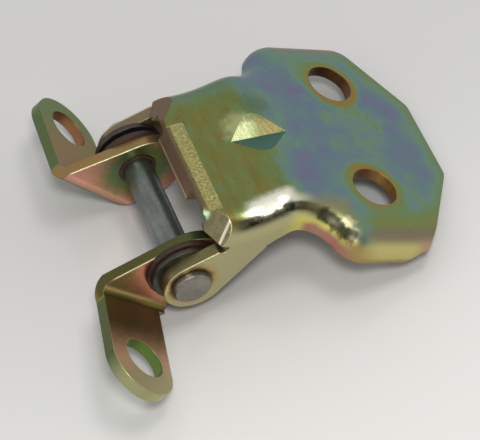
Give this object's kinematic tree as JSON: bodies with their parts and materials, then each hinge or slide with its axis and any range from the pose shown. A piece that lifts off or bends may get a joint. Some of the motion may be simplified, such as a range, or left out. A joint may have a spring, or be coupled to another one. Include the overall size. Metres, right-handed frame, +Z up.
{
  "type": "car door hinge",
  "caption": "Pressed-steel car door hinge: a flanged door leaf with two ears on a riveted pin, and two angle brackets that swing on it.",
  "frame": {"origin": "middle of the bounding box, on the table that the hinge lies on", "axes": "+Y along the pin from the near ear to the far ear, +X level from the pin side to the bolt plate, +Z up from the table"},
  "size_m": [0.1024, 0.0992, 0.0314],
  "materials": {
    "leaf_zinc": "yellow chromate over zinc plating, iridescent, blue and green on the flats and gold on the bends",
    "bracket_zinc": "yellow chromate over zinc plating, iridescent, blue and green on the flats and gold on the bends",
    "pin_steel": "bare ground steel with a slightly rough head",
    "bush_dark": "dark brown coated sleeve",
    "washer_steel": "dull grey steel"
  },
  "bodies": {
    "leaf": {"door_leaf": "leaf_zinc", "hinge_pin": "pin_steel", "washer_far": "washer_steel", "washer_near": "washer_steel"},
    "pillar_bracket_far": {"bracket_far": "bracket_zinc", "bush_far": "bush_dark"},
    "pillar_bracket_near": {"bracket_near": "bracket_zinc", "bush_near": "bush_dark"}
  },
  "joints": [
    {"name": "swing_far", "type": "hinge", "parent": "leaf", "child": "pillar_bracket_far", "pos_m": [-0.02379, 0.0021, 0.01557], "axis": [0, 1, 0], "range_deg": [-75, 85]},
    {"name": "swing_near", "type": "hinge", "parent": "leaf", "child": "pillar_bracket_near", "pos_m": [-0.02379, 0.0021, 0.01557], "axis": [0, 1, 0], "range_deg": [-75, 85]}
  ]
}
